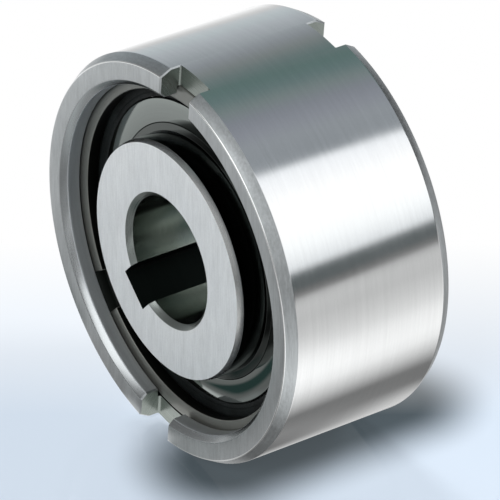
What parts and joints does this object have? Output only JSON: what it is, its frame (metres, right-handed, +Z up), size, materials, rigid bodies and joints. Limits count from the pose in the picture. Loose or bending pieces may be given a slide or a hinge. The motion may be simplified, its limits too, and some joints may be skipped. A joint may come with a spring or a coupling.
{
  "type": "sprag clutch",
  "caption": "Bearing-supported sprag clutch with a keyed inner ring, a slotted outer ring, two snap rings, two roller bearings and a ring of tilting sprags.",
  "frame": {"origin": "on the axis of the bore, halfway along the outer ring", "axes": "+Y along the bore axis from the front face to the rear face, +Z up with the clutch lying on its side, slots near the top and the bottom"},
  "size_m": [0.08, 0.037, 0.08],
  "materials": {
    "ground_steel": "ground bearing steel, satin faces and fine ground outside",
    "brushed_steel": "ground face with fine circular lay, polished bore",
    "spring_steel": "olive grey phosphated spring steel",
    "polished_steel": "polished bearing steel",
    "cage_steel": "dark pressed steel",
    "sprag_steel": "hardened and polished steel",
    "seal_rubber": "black nitrile rubber"
  },
  "bodies": {
    "outer_assembly": {"outer_ring": "ground_steel", "front_snap_ring": "spring_steel", "rear_snap_ring": "spring_steel", "front_bearing_outer_race": "polished_steel", "rear_bearing_outer_race": "polished_steel", "front_bearing_seal": "seal_rubber", "rear_bearing_seal": "seal_rubber", "outer_sprag_cage": "cage_steel", "inner_sprag_cage": "cage_steel", "front_sprag_spring": "spring_steel", "rear_sprag_spring": "spring_steel"},
    "inner_assembly": {"inner_ring": "brushed_steel", "front_bearing_inner_race": "polished_steel", "rear_bearing_inner_race": "polished_steel"},
    "front_roller_set": {"front_bearing_rollers": "polished_steel", "front_bearing_cage": "cage_steel"},
    "rear_roller_set": {"rear_bearing_rollers": "polished_steel", "rear_bearing_cage": "cage_steel"},
    "sprag_01": {"sprag_01": "sprag_steel"},
    "sprag_02": {"sprag_02": "sprag_steel"},
    "sprag_03": {"sprag_03": "sprag_steel"},
    "sprag_04": {"sprag_04": "sprag_steel"},
    "sprag_05": {"sprag_05": "sprag_steel"},
    "sprag_06": {"sprag_06": "sprag_steel"},
    "sprag_07": {"sprag_07": "sprag_steel"},
    "sprag_08": {"sprag_08": "sprag_steel"},
    "sprag_09": {"sprag_09": "sprag_steel"},
    "sprag_10": {"sprag_10": "sprag_steel"},
    "sprag_11": {"sprag_11": "sprag_steel"},
    "sprag_12": {"sprag_12": "sprag_steel"},
    "sprag_13": {"sprag_13": "sprag_steel"},
    "sprag_14": {"sprag_14": "sprag_steel"},
    "sprag_15": {"sprag_15": "sprag_steel"},
    "sprag_16": {"sprag_16": "sprag_steel"},
    "sprag_17": {"sprag_17": "sprag_steel"},
    "sprag_18": {"sprag_18": "sprag_steel"},
    "sprag_19": {"sprag_19": "sprag_steel"},
    "sprag_20": {"sprag_20": "sprag_steel"}
  },
  "joints": [
    {"name": "inner_ring_spin", "type": "hinge", "parent": "outer_assembly", "child": "inner_assembly", "pos_m": [0, 0, 0], "axis": [0, 1, 0], "continuous": true},
    {"name": "front_rollers_spin", "type": "hinge", "parent": "outer_assembly", "child": "front_roller_set", "pos_m": [0, 0, 0], "axis": [0, 1, 0], "continuous": true},
    {"name": "rear_rollers_spin", "type": "hinge", "parent": "outer_assembly", "child": "rear_roller_set", "pos_m": [0, 0, 0], "axis": [0, 1, 0], "continuous": true},
    {"name": "sprag_01_tilt", "type": "hinge", "parent": "outer_assembly", "child": "sprag_01", "pos_m": [0.02916, 0, 0], "axis": [0, -1, 0], "range_deg": [0, 5], "stiffness_Nm_per_rad": 0.0005, "springref_deg": -5},
    {"name": "sprag_02_tilt", "type": "hinge", "parent": "outer_assembly", "child": "sprag_02", "pos_m": [0.02774, 0, 0.00901], "axis": [0, -1, 0], "range_deg": [0, 5], "stiffness_Nm_per_rad": 0.0005, "springref_deg": -5},
    {"name": "sprag_03_tilt", "type": "hinge", "parent": "outer_assembly", "child": "sprag_03", "pos_m": [0.0236, 0, 0.01714], "axis": [0, -1, 0], "range_deg": [0, 5], "stiffness_Nm_per_rad": 0.0005, "springref_deg": -5},
    {"name": "sprag_04_tilt", "type": "hinge", "parent": "outer_assembly", "child": "sprag_04", "pos_m": [0.01714, 0, 0.0236], "axis": [0, -1, 0], "range_deg": [0, 5], "stiffness_Nm_per_rad": 0.0005, "springref_deg": -5},
    {"name": "sprag_05_tilt", "type": "hinge", "parent": "outer_assembly", "child": "sprag_05", "pos_m": [0.00901, 0, 0.02774], "axis": [0, -1, 0], "range_deg": [0, 5], "stiffness_Nm_per_rad": 0.0005, "springref_deg": -5},
    {"name": "sprag_06_tilt", "type": "hinge", "parent": "outer_assembly", "child": "sprag_06", "pos_m": [0, 0, 0.02916], "axis": [0, -1, 0], "range_deg": [0, 5], "stiffness_Nm_per_rad": 0.0005, "springref_deg": -5},
    {"name": "sprag_07_tilt", "type": "hinge", "parent": "outer_assembly", "child": "sprag_07", "pos_m": [-0.00901, 0, 0.02774], "axis": [0, -1, 0], "range_deg": [0, 5], "stiffness_Nm_per_rad": 0.0005, "springref_deg": -5},
    {"name": "sprag_08_tilt", "type": "hinge", "parent": "outer_assembly", "child": "sprag_08", "pos_m": [-0.01714, 0, 0.0236], "axis": [0, -1, 0], "range_deg": [0, 5], "stiffness_Nm_per_rad": 0.0005, "springref_deg": -5},
    {"name": "sprag_09_tilt", "type": "hinge", "parent": "outer_assembly", "child": "sprag_09", "pos_m": [-0.0236, 0, 0.01714], "axis": [0, -1, 0], "range_deg": [0, 5], "stiffness_Nm_per_rad": 0.0005, "springref_deg": -5},
    {"name": "sprag_10_tilt", "type": "hinge", "parent": "outer_assembly", "child": "sprag_10", "pos_m": [-0.02774, 0, 0.00901], "axis": [0, -1, 0], "range_deg": [0, 5], "stiffness_Nm_per_rad": 0.0005, "springref_deg": -5},
    {"name": "sprag_11_tilt", "type": "hinge", "parent": "outer_assembly", "child": "sprag_11", "pos_m": [-0.02916, 0, 0], "axis": [0, -1, 0], "range_deg": [0, 5], "stiffness_Nm_per_rad": 0.0005, "springref_deg": -5},
    {"name": "sprag_12_tilt", "type": "hinge", "parent": "outer_assembly", "child": "sprag_12", "pos_m": [-0.02774, 0, -0.00901], "axis": [0, -1, 0], "range_deg": [0, 5], "stiffness_Nm_per_rad": 0.0005, "springref_deg": -5},
    {"name": "sprag_13_tilt", "type": "hinge", "parent": "outer_assembly", "child": "sprag_13", "pos_m": [-0.0236, 0, -0.01714], "axis": [0, -1, 0], "range_deg": [0, 5], "stiffness_Nm_per_rad": 0.0005, "springref_deg": -5},
    {"name": "sprag_14_tilt", "type": "hinge", "parent": "outer_assembly", "child": "sprag_14", "pos_m": [-0.01714, 0, -0.0236], "axis": [0, -1, 0], "range_deg": [0, 5], "stiffness_Nm_per_rad": 0.0005, "springref_deg": -5},
    {"name": "sprag_15_tilt", "type": "hinge", "parent": "outer_assembly", "child": "sprag_15", "pos_m": [-0.00901, 0, -0.02774], "axis": [0, -1, 0], "range_deg": [0, 5], "stiffness_Nm_per_rad": 0.0005, "springref_deg": -5},
    {"name": "sprag_16_tilt", "type": "hinge", "parent": "outer_assembly", "child": "sprag_16", "pos_m": [0, 0, -0.02916], "axis": [0, -1, 0], "range_deg": [0, 5], "stiffness_Nm_per_rad": 0.0005, "springref_deg": -5},
    {"name": "sprag_17_tilt", "type": "hinge", "parent": "outer_assembly", "child": "sprag_17", "pos_m": [0.00901, 0, -0.02774], "axis": [0, -1, 0], "range_deg": [0, 5], "stiffness_Nm_per_rad": 0.0005, "springref_deg": -5},
    {"name": "sprag_18_tilt", "type": "hinge", "parent": "outer_assembly", "child": "sprag_18", "pos_m": [0.01714, 0, -0.0236], "axis": [0, -1, 0], "range_deg": [0, 5], "stiffness_Nm_per_rad": 0.0005, "springref_deg": -5},
    {"name": "sprag_19_tilt", "type": "hinge", "parent": "outer_assembly", "child": "sprag_19", "pos_m": [0.0236, 0, -0.01714], "axis": [0, -1, 0], "range_deg": [0, 5], "stiffness_Nm_per_rad": 0.0005, "springref_deg": -5},
    {"name": "sprag_20_tilt", "type": "hinge", "parent": "outer_assembly", "child": "sprag_20", "pos_m": [0.02774, 0, -0.00901], "axis": [0, -1, 0], "range_deg": [0, 5], "stiffness_Nm_per_rad": 0.0005, "springref_deg": -5}
  ],
  "couplings": [
    {"joint": "front_rollers_spin", "follows": "inner_ring_spin", "ratio": 0.46737},
    {"joint": "rear_rollers_spin", "follows": "inner_ring_spin", "ratio": 0.46737},
    {"joint": "sprag_02_tilt", "follows": "sprag_01_tilt", "ratio": 1},
    {"joint": "sprag_03_tilt", "follows": "sprag_01_tilt", "ratio": 1},
    {"joint": "sprag_04_tilt", "follows": "sprag_01_tilt", "ratio": 1},
    {"joint": "sprag_05_tilt", "follows": "sprag_01_tilt", "ratio": 1},
    {"joint": "sprag_06_tilt", "follows": "sprag_01_tilt", "ratio": 1},
    {"joint": "sprag_07_tilt", "follows": "sprag_01_tilt", "ratio": 1},
    {"joint": "sprag_08_tilt", "follows": "sprag_01_tilt", "ratio": 1},
    {"joint": "sprag_09_tilt", "follows": "sprag_01_tilt", "ratio": 1},
    {"joint": "sprag_10_tilt", "follows": "sprag_01_tilt", "ratio": 1},
    {"joint": "sprag_11_tilt", "follows": "sprag_01_tilt", "ratio": 1},
    {"joint": "sprag_12_tilt", "follows": "sprag_01_tilt", "ratio": 1},
    {"joint": "sprag_13_tilt", "follows": "sprag_01_tilt", "ratio": 1},
    {"joint": "sprag_14_tilt", "follows": "sprag_01_tilt", "ratio": 1},
    {"joint": "sprag_15_tilt", "follows": "sprag_01_tilt", "ratio": 1},
    {"joint": "sprag_16_tilt", "follows": "sprag_01_tilt", "ratio": 1},
    {"joint": "sprag_17_tilt", "follows": "sprag_01_tilt", "ratio": 1},
    {"joint": "sprag_18_tilt", "follows": "sprag_01_tilt", "ratio": 1},
    {"joint": "sprag_19_tilt", "follows": "sprag_01_tilt", "ratio": 1},
    {"joint": "sprag_20_tilt", "follows": "sprag_01_tilt", "ratio": 1}
  ]
}
